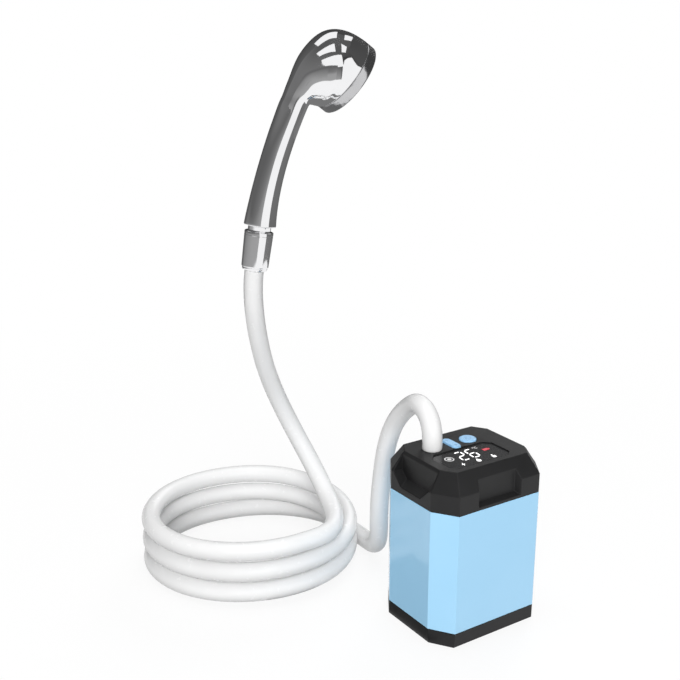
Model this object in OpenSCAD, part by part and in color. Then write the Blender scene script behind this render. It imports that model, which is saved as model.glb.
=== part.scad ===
// Camp shower pump: a submersible pump, its hose lying in a coil, and a small hand shower.
// Millimetres, +Z up. The origin lies on the floor under the middle of the pump, whose front faces -Y.

/* [Pump case] */
// Width of the case across its front
body_w = 92; // [84:1:110]
// Depth of the case from front to back
body_d = 76; // [72:1:90]
// Height of the case from the floor to its top face
body_h = 124; // [120:1:140]
// Corner cut, measured along the width
corner_x = 11; // [8:0.5:14]
// Corner cut, measured along the depth
corner_y = 16; // [12:0.5:20]
// Wall of the blue sleeve
wall = 2.4; // [2:0.1:3]
// Height of the black base
base_h = 10.4; // [9:0.1:13]
// Height of the black top cap
cap_h = 26.8; // [24:0.1:30]
// Height of the sloping shoulder of the cap
slope_h = 13.2; // [11:0.1:15]
// How far the top face is drawn in
slope_in = 8.8; // [7:0.1:10]
// How far the base is drawn in where it stands on the floor
foot_in = 0.6; // [0.3:0.1:1]
// Share of a corner's cut that is left there
foot_cut = 0.9; // [0.8:0.05:1]

/* [Cap recesses] */
// Depth of the finger pocket in each end
pocket_t = 7.5; // [6.5:0.1:8]
// Half width of the finger pocket at the top
pocket_top = 19.5; // [17:0.1:20]
// Half width of the finger pocket at the bottom
pocket_low = 10.5; // [8:0.1:12]
// Height of the pocket's lower edge above the seam
pocket_up = 5; // [4:0.1:6]
// Depth of the wide scoop in the front and the back
scoop_t = 4.5; // [4.3:0.1:5]
// Half width of the scoop at its back wall
scoop_w = 16.3; // [14:0.1:18]
// How far each end of the scoop flares
scoop_flare = 2.2; // [1:0.1:3]
// Height of the scoop's lower edge above the seam
scoop_up = 2.2; // [1.6:0.1:3]

/* [Top panel] */
// Thickness of the top wall
top_wall = 3.2; // [3:0.1:4]
// Width of the display window
window_w = 52; // [48:0.5:53]
// Depth of the display window, front to back
window_d = 26.5; // [25:0.5:27]
// Corner cut of the window
window_cut = 4.5; // [3:0.5:6]
// Thickness of the window
window_t = 1.4; // [1.2:0.1:1.6]
// How far the window lies below the top face
window_sunk = 0.8; // [0.5:0.1:1]
// Radius of the round button
round_r = 6.2; // [5.5:0.1:6.6]
// Width of the long button
long_w = 7; // [6:0.1:8]
// Length of the long button
long_l = 17; // [15:0.1:17.5]
// How far a button stands above the top face
button_up = 1; // [0.8:0.1:1.4]
// Travel of a button
travel = 0.8; // [0.6:0.1:0.9]

/* [Pump works] */
// Depth of the wet chamber above the base
chamber_h = 19.6; // [19:0.1:24]
// Thickness of the bulkhead over the wet chamber
bulkhead = 3; // [2.5:0.1:4]
// Radius of the pump casing
casing_r = 23.5; // [22:0.1:24]
// Radius of the impeller
impeller_r = 15; // [12:0.1:16]
// Number of impeller blades
blades = 6; // [5:1:8]
// Radius of the motor
motor_r = 14; // [12:0.1:14.5]
// Length of the motor
motor_l = 33; // [28:1:40]
// Radius of the motor shaft
shaft_r = 1.5; // [1.2:0.1:2]
// Radius of a battery cell
cell_r = 9.2; // [8.5:0.1:9.3]
// Length of a battery cell
cell_l = 65.2; // [60:0.1:66]
// Radius of the inlet grille
grille_r = 26; // [22:0.5:27]
// Number of spokes in the grille
spokes = 8; // [6:2:12]
// Radius of a case screw
screw_r = 1.45; // [1.2:0.05:1.6]

/* [Hose] */
// Outer diameter of the hose
hose_d = 14; // [13:0.1:14]
// Bore of the hose
bore_d = 9.4; // [9:0.1:10]
// Half the coil's length, at the middle of the hose
coil_l = 76.3; // [74:0.1:80]
// Half the coil's width, at the middle of the hose
coil_w = 70.5; // [69:0.1:74]
// Rise from one turn of the coil to the next
coil_rise = 16.2; // [15:0.1:18]

/* [Hand shower] */
// Length of the nut
nut_l = 28.5; // [26:0.5:32]
// Radius of the nut at its top
nut_top = 10.5; // [10:0.1:11.5]
// Radius of the nut near its bottom
nut_low = 9.8; // [9.5:0.1:10.5]
// Radius of the threaded stub
stub_r = 8.3; // [8:0.1:8.6]
// Gap between the nut and the handle
neck_gap = 4; // [2:0.5:6]
// Diameter of the grip
grip_d = 19.4; // [17:0.1:21]
// Length of the handle up to the neck
handle_l = 94; // [85:1:110]
// How far the handle leans forward over its length
lean = 15.9; // [10:0.1:20]
// Diameter of the head
head_d = 56; // [50:0.5:60]
// Depth of the ring around the spray face
band = 8.3; // [7:0.1:10]
// Angle that the spray face looks down
face_down = 28; // [20:1:35]
// Wall of the handset
shell_t = 2.6; // [2.2:0.1:3]

/* [Fits] */
// Gap around a piece that is set in
fit = 0.15; // [0.1:0.01:0.25]
// Radial gap of a turning fit
run = 0.05; // [0.03:0.01:0.08]

/* [Hidden] */
$fn = 64;
eps = 0.01;

// Heights of the case
z_seam = body_h - cap_h;
z_slope = body_h - slope_h;
z_bulk = base_h + chamber_h;
z_dry = z_bulk + bulkhead;
z_roof = body_h - top_wall;

// Base: a floor carried above the ground, and a tongue inside the sleeve
floor_z = 2.4;
floor_t = 2.4;
floor_top = floor_z + floor_t;
tongue_t = 1.8;
tongue_h = 3;
skirt = wall + fit + tongue_t;
notch = [24, 1.6];
flange_t = 1;
grille_lip = 2;
foam_gap = 0.1;
boss_in = [10, 14];
boss_x = body_w / 2 - boss_in.x;
boss_y = body_d / 2 - boss_in.y;
boss_r = 5;
head_r = 2.8;
head_t = 1.8;
drive_r = 1;
drive_t = 1;
screw_l = 18;

// Pump works: the shaft stands left of the middle, the delivery tube beside it under the outlet
shaft_at = [-12, -8];
outlet_at = [-19.4, 11.3];
tube_r = bore_d / 2 * cos(15) - run;
tube_bore = 3.3;
cover_t = 3;
casing_h = 13.5;
z_casing = z_bulk - casing_h;
z_cover = z_casing - cover_t;
volute_r = casing_r - 5;
volute_h = 9;
seal_r = 5;
can_t = 1.4;
rotor_r = motor_r - can_t - 2.6;
eye_r = 6;

// Battery: two cells side by side at the right, clear of the cap's inner wall
cavity_in = pocket_t + 2.7;
cell_gap = 1.1;
tray_t = 3;
tray_sink = 2;
tray_rim = 1.5;
cell_x = body_w / 2 - cavity_in - cell_gap - tray_rim - cell_r;
cell_y = cell_r + 1.8;
z_cell = z_dry + tray_t - tray_sink;
clip_t = 4.2;
clip_sink = 2.2;

// Cap: tongue and groove
cap_tongue_t = 2.4;
cap_tongue_h = 5;
groove_t = 1.3;
groove_h = 1.6;
groove_z = z_seam - 3.2;

// Top panel
window_at = [-3.7, -11.25];
ledge = 2;
round_at = [12.4, 11.6];
long_at = [-2.5, 11.3];
rim = 1;
rim_t = 0.8;
rim_gap = 0.1;
z_button = z_roof - rim_gap - rim_t;
display_t = 5.4;
display_in = 1;
z_board = z_roof - rim_gap - display_t;
board_t = 1.6;
board_gap = 0.4;
post_in = [4.3, 8.8];
post_at = [body_w / 2 - cavity_in - post_in.x, body_d / 2 - cavity_in - post_in.y];
post_r = 2.5;
pin_r = 1;
stem_r = 6;
collar_r = 8;
collar_t = 2.2;
socket_l = 6.5;
spigot_l = 13;
spout_l = 6.6;
barb_l = 3.2;
oring_r = 0.8;
oring_z = body_h - 1.7;
port = [9, 8, 3.4];
port_wall = 2;
port_room = [18, 20, 9.4];
port_fit = 0.4;
port_y = body_d / 2 - scoop_t - port_wall;
plug = [13, 7, 1.6];

// Coil: it turns about coil_at, a little longer one way, and angles are taken from that way
coil_at = [-87.5, 149.2];
coil_long = [cos(33.4), -sin(33.4)];
coil_wide = [sin(33.4), cos(33.4)];
coil_in = 33.4;
coil_out = 1036;
coil_step = 15;
tail_out = 9.5;
end_l = 6;

// Hand shower: the nut stands at nut_at, leans forward and is turned about Z
nut_at = [-81, 145, 231.4];
turn = -10.4;
tilt = 8.7;
nut_seat = 10;
tail_t = 2.4;
washer_t = 2.4;
z_stub = nut_seat + tail_t + washer_t;
z_handle = nut_l + neck_gap;
end_r = 11.7;
neck_at = [25.4, z_handle + handle_l - 5];
neck_to = [33.6, z_handle + handle_l - 5.7];
neck_wide = 0.22;
fan_from = 160;
fan_to = 90 - face_down;
face_in = 0.8;
plate_t = 2.4;
plate_r = head_d / 2 - 2.5;
mat_t = 1.4;
nozzle_r = 1.2;
nozzle_up = 1.4;
nozzle_rings = [[6, 6.5], [12, 13], [18, 19.5]];

// Routes of the free hose: the arch and drop behind the pump, and the rise to the hand shower
arch_points = [[-18.1, 14.8, 140.2], [-16.4, 22.5, 146.8], [-14.1, 35.2, 148.5], [-12, 45.5, 143.6],
    [-11.1, 54.7, 136.4], [-11.1, 62.3, 127.9], [-11.7, 68.1, 117.9], [-12.7, 71.7, 106.9], [-14, 73.5, 95.6],
    [-15.5, 73.9, 84.1], [-17, 73.6, 72.7], [-18.2, 73.4, 61.2], [-18.3, 73.8, 49.5], [-17.1, 75.6, 38.1],
    [-14.5, 79.6, 27.3], [-11.1, 86.2, 18.2], [-7.7, 95.2, 11.7]];
riser_points = [[-57.9, 80.7, 43.8], [-46.9, 91.6, 44.8], [-40.1, 105.4, 47.5], [-36.3, 119.4, 52.7],
    [-34.7, 132.5, 60.8], [-35.5, 143.8, 71.3], [-38.5, 152.7, 83.6], [-43.1, 158.7, 97.1], [-48.8, 161.7, 111.2],
    [-55, 162.1, 125.4], [-61.2, 160.5, 139.4], [-67.1, 157.5, 153.4], [-72.3, 153.9, 167.5],
    [-76.8, 150.4, 181.9], [-80.1, 147.6, 196.7], [-81.9, 145.9, 212]];

// Colours
black = [0.2, 0.2, 0.2];
blue = [0.62, 0.83, 0.98];
white = [0.93, 0.93, 0.93];
chrome = [0.75, 0.76, 0.78];
grey = [0.5, 0.5, 0.52];
green = [0.1, 0.35, 0.2];

// The case's eight-sided outline, drawn in by t on every side
function outline(t) =
    let (cut = norm([corner_x, corner_y]),
        k = 1 - t * (corner_x + corner_y - cut) / (corner_x * corner_y),
        w = body_w / 2 - t, d = body_d / 2 - t, x = w - corner_x * k, y = d - corner_y * k)
    [[x, -d], [w, -y], [w, y], [x, d], [-x, d], [-w, y], [-w, -y], [-x, -d]];

// A straight stretch of the case between two heights
module prism(z0, z1, t = 0) {
    translate([0, 0, z0]) linear_extrude(z1 - z0) polygon(outline(t));
}

// A ring of the case between two insets
module band_of(z0, z1, t0, t1) {
    difference() {
        prism(z0, z1, t0);
        prism(z0 - 1, z1 + 1, t1);
    }
}

// The outline where the base stands, drawn in and with its corners cut less
function foot_outline() =
    let (w = body_w / 2 - foot_in, d = body_d / 2 - foot_in,
        x = w - corner_x * foot_cut, y = d - corner_y * foot_cut)
    [[x, -d], [w, -y], [w, y], [x, d], [-x, d], [-w, y], [-w, -y], [-x, -d]];

// A stretch of the case between two eight-sided outlines
module loft(below, z0, above, z1) {
    low = [for (p = below) [p.x, p.y, z0]];
    high = [for (p = above) [p.x, p.y, z1]];
    sides = [for (i = [0:7]) [i, 8 + i, 8 + (i + 1) % 8, (i + 1) % 8]];
    polyhedron(concat(low, high), concat([[0, 1, 2, 3, 4, 5, 6, 7], [15, 14, 13, 12, 11, 10, 9, 8]], sides));
}

// A stretch of the case that draws in from one inset to another
module taper(z0, t0, z1, t1) {
    loft(outline(t0), z0, outline(t1), z1);
}

// A cylinder between two heights
module post(r, z0, z1, at = [0, 0]) {
    translate([at.x, at.y, z0]) cylinder(r = r, h = z1 - z0);
}

// A tube between two heights
module pipe(r0, r1, z0, z1, at = [0, 0]) {
    difference() {
        post(r1, z0, z1, at);
        post(r0, z0 - 1, z1 + 1, at);
    }
}

// The window's outline, a rectangle with cut corners, drawn in by t
module window_plan(t = 0) {
    w = window_w / 2 - t;
    d = window_d / 2 - t;
    c = window_cut - t * (2 - sqrt(2));
    translate(window_at) polygon([[w - c, -d], [w, c - d], [w, d - c], [w - c, d], [c - w, d], [-w, d - c],
        [-w, c - d], [c - w, -d]]);
}

// A bar with round ends, its length along Y
module bar(w, l) {
    square([w, l - w], center = true);
    for (y = [-1, 1]) translate([0, y * (l - w) / 2]) circle(w / 2);
}

// Copies at the four corners of a rectangle
module corners(x, y) {
    for (i = [-1, 1], j = [-1, 1]) translate([i * x, j * y, 0]) children();
}

function ease(x) = let (c = min(1, max(0, x))) c * c * (3 - 2 * c);
function unit(v) = v / norm(v);

// The way that a route heads at each of its points
function headings(p) =
    [for (i = [0:len(p) - 1]) unit(p[min(i + 1, len(p) - 1)] - p[max(i - 1, 0)])];

// A side direction at each point, carried along without twist
function square_to(n, t) = unit(n - t * (n * t));
function side_ways(t, start) =
    [for (i = 0, n = square_to(start, t[0]); i < len(t);
        i = i + 1, n = i < len(t) ? square_to(n, t[i]) : n) n];

// Points of a ring around p, wider along n where k is over 1
function ring(p, t, n, r, sides, k = 1) =
    let (m = cross(t, n), step = 360 / sides)
    [for (i = [0:sides - 1]) p + r * (k * cos(step * i) * n + sin(step * i) * m)];

// A skin of triangles over a list of rings, closed back to the first ring
module ring_skin(rings) {
    n = len(rings);
    s = len(rings[0]);
    faces = [for (i = [0:n - 1], k = [0:s - 1], half = [0, 1])
        let (j = (i + 1) % n, l = (k + 1) % s)
            half == 0 ? [i * s + k, j * s + k, j * s + l] : [i * s + k, j * s + l, i * s + l]];
    polyhedron([for (r = rings) each r], faces);
}

// A hose along a route: the outside there, and the bore back again
module hose(route, start, sides = 12) {
    t = headings(route);
    n = side_ways(t, start);
    last = len(route) - 1;
    outside = [for (i = [0:last]) ring(route[i], t[i], n[i], hose_d / 2, sides)];
    inside = [for (i = [last:-1:0]) ring(route[i], t[i], n[i], bore_d / 2, sides)];
    ring_skin(concat(outside, inside));
}

// How many turns a coil has climbed at angle a: level at the back and left, rising at the front and right
function climb(a) =
    let (k = floor((a - 90) / 360), f = a - 90 - 360 * k)
    max(0, k + 0.3 * ease((f - 90) / 180) + 0.7 * ease((f - 225) / 135));
function coil_point(a) =
    let (out = tail_out * (1 - ease((a - coil_in) / 90)),
        p = coil_at + (coil_l + out) * cos(a) * coil_long + (coil_w + out) * sin(a) * coil_wide)
    [p.x, p.y, hose_d / 2 + coil_rise * climb(a)];

// The coil's turns, with a straight piece at each end
coil_turns = [for (a = [coil_in:coil_step:coil_out]) coil_point(a)];
coil_last = len(coil_turns) - 1;
way_in = [0, 1, 0];
way_out = unit(coil_point(coil_in + coil_step * coil_last + 1) - coil_turns[coil_last]);
coil_start = coil_turns[0] - hose_d * way_in;
coil_end = coil_turns[coil_last] + end_l * way_out;
coil_route = concat([coil_start], coil_turns, [coil_end]);

// Least gap between one turn and another, measured on the points
coil_gap = min([for (i = [0:coil_last], j = [i:coil_last]) if (j - i > 12) norm(coil_turns[i] - coil_turns[j])])
    - hose_d;
echo(coil_gap = coil_gap);

// The nut's axis
nut_axis = [sin(tilt) * cos(turn), sin(tilt) * sin(turn), cos(tilt)];
outlet = [outlet_at.x, outlet_at.y, body_h];
arch_route = concat([outlet, outlet + [0, 0, spout_l + 1]], arch_points,
    [coil_start - hose_d * way_in, coil_start]);
riser_route = concat([coil_end, coil_end + end_l * way_out], riser_points,
    [nut_at + (nut_seat - hose_d) * nut_axis, nut_at + nut_seat * nut_axis]);

// Black base with its skirt, its floor and a tongue that stands in the sleeve
module base_cap() {
    color(black) difference() {
        union() {
            loft(foot_outline(), 0, outline(0), base_h);
            band_of(base_h - 1, base_h + tongue_h, wall + fit, skirt);
        }
        prism(-1, floor_z, skirt);
        difference() {
            prism(floor_top, base_h + tongue_h + 1, skirt);
            corners(boss_x, boss_y) post(boss_r, floor_z, base_h);
        }
        corners(boss_x, boss_y) post(boss_r + fit, base_h, base_h + tongue_h + 1);
        post(grille_r + fit, 0, base_h);
        corners(boss_x, boss_y) post(screw_r + fit, 0, base_h + 1);
        for (a = [0, 90]) rotate(a) translate([0, -notch.x / 2, -1]) cube([body_w, notch.x, notch.y + 1]);
    }
}

// Spoked grille in the floor of the base, with a hub and spokes that reach the ground
module inlet_grille() {
    color(black) {
        pipe(grille_r - 3, grille_r, floor_z, floor_top);
        pipe(grille_r - 3, grille_r + grille_lip, floor_top, floor_top + flange_t);
        pipe(grille_r * 0.56, grille_r * 0.56 + 1.6, floor_z, floor_top);
        post(7, 0, floor_top);
        for (i = [0:spokes - 1]) rotate(360 * i / spokes)
            translate([0, -1.2, 0]) cube([grille_r - 1, 2.4, floor_top]);
    }
}

// Foam filter lying on the grille
module filter_foam() {
    color(grey) post(grille_r + grille_lip - 1, floor_top + flange_t, z_cover - foam_gap);
}

// Cover of the pump casing with the suction eye
module volute_cover() {
    color(grey) pipe(eye_r, casing_r, z_cover, z_casing, shaft_at);
}

// Pump casing under the bulkhead, with its chamber and its delivery port
module volute_case() {
    way = outlet_at - shaft_at;
    reach = norm(way);
    color(grey) difference() {
        union() {
            post(casing_r, z_casing, z_bulk, shaft_at);
            post(tube_r + 3, z_casing, z_bulk, outlet_at);
        }
        post(volute_r, z_casing - 1, z_casing + volute_h, shaft_at);
        post(tube_bore, z_casing + 1.5, z_bulk + 1, outlet_at);
        translate([shaft_at.x, shaft_at.y, z_casing + 2]) rotate(atan2(way.y, way.x))
            translate([0, 0.5 - tube_bore, 0]) cube([reach, 2 * tube_bore - 1, volute_h - 3]);
        post(shaft_r + fit, z_casing, z_bulk + 1, shaft_at);
    }
}

// Impeller: a back plate, a hub and swept blades
module impeller() {
    z0 = z_casing + 1;
    z1 = z_casing + volute_h - 1;
    color(grey) difference() {
        union() {
            post(4, z0, z1, shaft_at);
            post(impeller_r, z1 - 1.6, z1, shaft_at);
            for (i = [0:blades - 1]) translate([shaft_at.x, shaft_at.y, z0 + 0.4]) rotate(360 * i / blades)
                translate([2.5, 0, 0]) rotate(25) cube([impeller_r - 4, 1.4, z1 - z0 - 1]);
        }
        post(shaft_r + 0.02, z0 + 1, z1 + 1, shaft_at);
    }
}

// Motor shaft with its armature
module motor_rotor() {
    color(grey) {
        post(shaft_r, z_casing + 2, z_dry + motor_l + 2, shaft_at);
        post(rotor_r, z_dry + 7, z_dry + motor_l - 7, shaft_at);
    }
}

// Motor can with a bearing at each end
module motor_can() {
    color(chrome) difference() {
        post(motor_r, z_dry, z_dry + motor_l, shaft_at);
        post(motor_r - can_t, z_dry + 2, z_dry + motor_l - 2, shaft_at);
        post(shaft_r + run, z_dry - 1, z_dry + motor_l + 1, shaft_at);
    }
}

// Lip seal in the bulkhead
module shaft_seal() {
    color(black) pipe(shaft_r + run, seal_r, z_bulk, z_dry, shaft_at);
}

// Blue sleeve with the bulkhead that keeps the battery side dry
module body_sleeve() {
    color(blue) difference() {
        union() {
            band_of(base_h, z_seam, 0, wall);
            prism(z_bulk, z_dry, wall - eps);
            intersection() {
                prism(base_h, z_bulk, wall - eps);
                corners(boss_x, boss_y) post(boss_r, base_h, z_bulk);
            }
        }
        post(seal_r + 0.02, z_bulk - 1, z_dry + 1, shaft_at);
        post(tube_r + run, z_bulk - 1, z_dry + 1, outlet_at);
        corners(boss_x, boss_y) post(screw_r + run, base_h - 1, floor_z + screw_l + 1);
    }
}

// Plan of the holders: a round rim for each cell, joined by a bridge
module cell_plan(r) {
    for (y = [-1, 1]) translate([cell_x, y * cell_y]) circle(r);
    translate([cell_x - r * 0.7, -cell_y]) square([r * 1.4, 2 * cell_y]);
}

// Places of the two cells
module at_cells() {
    for (y = [-1, 1]) translate([cell_x, y * cell_y, 0]) children();
}

// Tray that the cells stand in
module battery_tray() {
    color(black) difference() {
        translate([0, 0, z_dry]) linear_extrude(tray_t) cell_plan(cell_r + tray_rim);
        at_cells() post(cell_r + fit, z_cell, z_dry + tray_t + 1);
    }
}

// Two battery cells
module battery_cells() {
    color(blue) at_cells() {
        post(cell_r, z_cell, z_cell + cell_l);
        post(3, z_cell + cell_l - 1, z_cell + cell_l + 1);
    }
}

// Clip over the tops of the cells
module battery_clip() {
    z0 = z_cell + cell_l - clip_sink;
    color(black) difference() {
        translate([0, 0, z0]) linear_extrude(clip_t) cell_plan(cell_r + tray_rim);
        at_cells() post(cell_r + fit, z0 - 1, z0 + clip_sink);
        at_cells() post(4, z0, z0 + clip_t + 1);
    }
}

// One finger pocket, cut into the left end: it narrows downward and has a sloping shelf
module pocket() {
    low = z_seam + pocket_up;
    bend = z_slope;
    intersection() {
        translate([-body_w, 0, 0]) rotate([90, 0, 90]) linear_extrude(body_w) polygon([[-pocket_low, low],
            [pocket_low, low], [pocket_top, bend], [pocket_top, body_h + 2], [-pocket_top, body_h + 2],
            [-pocket_top, bend]]);
        translate([0, body_d / 2, 0]) rotate([90, 0, 0]) linear_extrude(body_d) polygon([
            [-body_w / 2 - 2, low - 1], [-body_w / 2 + pocket_t, low + 3.5],
            [-body_w / 2 + pocket_t, body_h + 2], [-body_w / 2 - 2, body_h + 2]]);
    }
}

// One wide scoop, cut into the front: flared ends and a sloping lower edge
module scoop() {
    low = z_seam + scoop_up;
    y0 = -body_d / 2;
    flare = scoop_flare / scoop_t;
    intersection() {
        translate([0, 0, z_seam]) linear_extrude(cap_h + 1) polygon([[-scoop_w, y0 + scoop_t],
            [-scoop_w - scoop_flare - flare, y0 - 1], [scoop_w + scoop_flare + flare, y0 - 1],
            [scoop_w, y0 + scoop_t]]);
        translate([-body_w / 2, 0, 0]) rotate([90, 0, 90]) linear_extrude(body_w) polygon([[y0 - 1, low - 0.4],
            [y0 + scoop_t, low + 1.8], [y0 + scoop_t, body_h + 1], [y0 - 1, body_h + 1]]);
    }
}

// Black top cap: sloping shoulders, finger recesses, the top panel's openings and the sealing tongue
module top_cap() {
    color(black) difference() {
        union() {
            prism(z_seam, z_slope);
            taper(z_slope, 0, body_h, slope_in);
            band_of(z_seam - cap_tongue_h, z_seam + 1, wall + fit, wall + fit + cap_tongue_t);
        }
        difference() {
            prism(z_seam - 1, z_roof, cavity_in);
            corners(post_at.x, post_at.y) post(post_r, z_board + board_t, body_h);
        }
        prism(z_seam - cap_tongue_h - 1, z_seam, wall + fit + cap_tongue_t);
        band_of(groove_z, groove_z + groove_h, 0, wall + fit + groove_t);
        for (a = [0, 180]) rotate(a) pocket();
        for (a = [0, 180]) rotate(a) scoop();
        translate([0, 0, body_h - window_sunk - window_t]) linear_extrude(window_t + 2) window_plan(-fit);
        translate([0, 0, z_roof - 1]) linear_extrude(top_wall) window_plan(ledge);
        post(round_r + fit, z_roof - 1, body_h + 1, round_at);
        translate([long_at.x, long_at.y, z_roof - 1]) linear_extrude(top_wall + 2)
            bar(long_w + 2 * fit, long_l + 2 * fit);
        post(stem_r + run, z_roof - 1, body_h + 1, outlet_at);
        corners(post_at.x, post_at.y) post(pin_r + run, z_board + board_t - 1, z_roof + 1);
        translate([0, port_y - port_room.y / 2, z_board - port.z / 2]) {
            cube(port_room, center = true);
            translate([0, port_room.y / 2, 0])
                cube([port.x - port_fit, port_room.y, port.z - port_fit], center = true);
        }
    }
}

// Gasket in the groove of the cap's tongue
module cap_gasket() {
    color(grey) band_of(groove_z + 0.02, groove_z + groove_h - 0.02, wall + 0.02, wall + fit + groove_t - 0.02);
}

// Control board under the top panel, cut out around the outlet
module control_board() {
    color(green) difference() {
        prism(z_board, z_board + board_t, cavity_in + board_gap);
        post(collar_r + 0.5, z_board - 1, z_board + board_t + 1, outlet_at);
        corners(post_at.x, post_at.y) post(pin_r + fit, z_board - 1, z_board + board_t + 1);
    }
}

// Four screws that hold the board to the cap's posts
module board_screws() {
    color(chrome) corners(post_at.x, post_at.y) {
        post(2, z_board - 1.4, z_board);
        post(pin_r, z_board - 0.5, z_roof - 0.2);
    }
}

// Display module on the board, below the window
module display_module() {
    color(grey) translate([0, 0, z_board + board_t]) linear_extrude(z_roof - z_board - board_t - 0.05)
        window_plan(ledge + display_in);
}

// Smoked window set into the top face
module display_window() {
    color([0.1, 0.1, 0.1]) translate([0, 0, body_h - window_sunk - window_t])
        linear_extrude(window_t) window_plan();
}

// A push switch on the board under each button
module tact_switches() {
    z0 = z_board + board_t;
    z1 = z_button - travel - 0.1;
    color(grey) for (p = [round_at, long_at]) {
        translate([p.x - 3, p.y - 3, z0]) cube([6, 6, (z1 - z0) * 0.6]);
        post(1.6, z0, z1, p);
    }
}

// Round button with a soft top edge, held by a rim under the top wall
module power_button() {
    top = body_h + button_up;
    color(blue) translate([round_at.x, round_at.y, 0]) rotate_extrude() polygon([[0, z_button],
        [round_r + rim, z_button], [round_r + rim, z_button + rim_t], [round_r, z_button + rim_t],
        [round_r, top - 0.7], [round_r - 0.3, top - 0.25], [round_r - 1, top], [0, top]]);
}

// Long button, held the same way
module mode_button() {
    top = body_h + button_up;
    color(blue) translate([long_at.x, long_at.y, 0]) {
        translate([0, 0, z_button]) linear_extrude(rim_t) bar(long_w + 2 * rim, long_l + 2 * rim);
        translate([0, 0, z_button]) linear_extrude(top - 0.5 - z_button) bar(long_w, long_l);
        translate([0, 0, z_button]) linear_extrude(top - z_button) bar(long_w - 1, long_l - 1);
    }
}

// Outlet spigot: a collar under the top wall, a stem through it and a spout inside the hose
module outlet_spigot() {
    z_socket = z_roof - collar_t - socket_l;
    color(black) difference() {
        union() {
            post(collar_r - 1, z_socket, z_roof, outlet_at);
            post(collar_r, z_roof - collar_t, z_roof, outlet_at);
            post(stem_r, z_roof - 1, body_h, outlet_at);
            post(tube_r - 0.15, body_h - 1, body_h + spout_l, outlet_at);
            for (i = [0:1]) translate([outlet_at.x, outlet_at.y, body_h + barb_l * i + 0.2])
                cylinder(r1 = tube_r, r2 = tube_r - 0.15, h = barb_l - 0.3);
        }
        post(tube_bore, z_socket, body_h + spout_l + 1, outlet_at);
        post(tube_r + run, z_socket - 1, z_socket + socket_l - 1.5, outlet_at);
        pipe(stem_r - 1.7, stem_r + 1, oring_z - oring_r - 0.1, oring_z + oring_r + 0.1, outlet_at);
    }
}

// Seal ring around the stem of the spigot
module outlet_oring() {
    color(grey) translate([outlet_at.x, outlet_at.y, oring_z]) rotate_extrude()
        translate([stem_r + run - 0.02 - oring_r, 0]) circle(oring_r, $fn = 32);
}

// Delivery tube from the pump casing up to the spigot
module delivery_tube() {
    color(white) pipe(tube_bore, tube_r, z_bulk, z_roof - collar_t - 1.6, outlet_at);
}

// Charging socket under the back edge of the board
module charge_socket() {
    color(chrome) translate([0, port_y - port.y / 2 - 0.1, z_board - port.z / 2]) difference() {
        cube(port, center = true);
        translate([0, 2, 0]) cube([port.x - 1.2, port.y, port.z - 1.2], center = true);
    }
}

// Rubber plug over the charging socket, with a tab to pull it by
module charge_plug() {
    z0 = z_board - port.z / 2;
    y0 = body_d / 2 - scoop_t;
    color(black) {
        translate([-plug.x / 2, y0, z0 - plug.y / 2]) cube([plug.x, plug.z, plug.y]);
        translate([-port.x / 2 + 0.6, y0 - port_wall + 0.2, z0 - port.z / 2 + 0.6])
            cube([port.x - 1.2, port_wall, port.z - 1.2]);
        translate([plug.x / 2 - 3, y0 + 0.4, z0 - 2]) cube([2, 3, 4]);
    }
}

// Four screws up through the base into the sleeve
module base_screws() {
    color(chrome) corners(boss_x, boss_y) difference() {
        union() {
            post(head_r, floor_z - head_t, floor_z);
            post(screw_r, floor_z - 1, floor_z + screw_l);
        }
        post(drive_r, floor_z - head_t - 1, floor_z - head_t + drive_t, $fn = 6);
    }
}

// Hose from the outlet, over in an arch and down to the floor behind the pump
module hose_arch() {
    color(white) hose(arch_route, [1, 0, 0]);
}

// Hose lying in three turns
module hose_coil() {
    color(white) hose(coil_route, [1, 0, 0]);
}

// Hose rising from the coil to the hand shower
module hose_riser() {
    color(white) hose(riser_route, [0, 0, 1]);
}

// Places a piece on the nut's axis
module at_nut() {
    translate(nut_at) rotate([0, 0, turn]) rotate([0, tilt, 0]) children();
}

// Tail in the end of the hose, with the flange that the nut pulls on
module hose_tail() {
    color(chrome) at_nut() difference() {
        union() {
            post(stub_r + 0.05, nut_seat, nut_seat + tail_t);
            post(tube_r, nut_seat - spigot_l, nut_seat + 1);
        }
        post(tube_bore, nut_seat - spigot_l - 1, nut_seat + tail_t + 1);
    }
}

// Tapered nut with a drawn-in lower end
module hose_nut() {
    bore = stub_r + 0.05 + run;
    hole = hose_d / 2 + fit;
    color(chrome) at_nut() rotate_extrude() polygon([[hole, 0], [nut_low - 1.8, 0], [nut_low - 0.6, 2.4],
        [nut_low, 3], [nut_top, nut_l - 0.5], [nut_top - 0.5, nut_l], [bore, nut_l],
        [bore, nut_seat - run], [hole, nut_seat - run]]);
}

// Flat washer between the tail and the stub
module hose_washer() {
    color(black) at_nut() pipe(tube_bore, stub_r, nut_seat + tail_t + run, z_stub);
}

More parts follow.
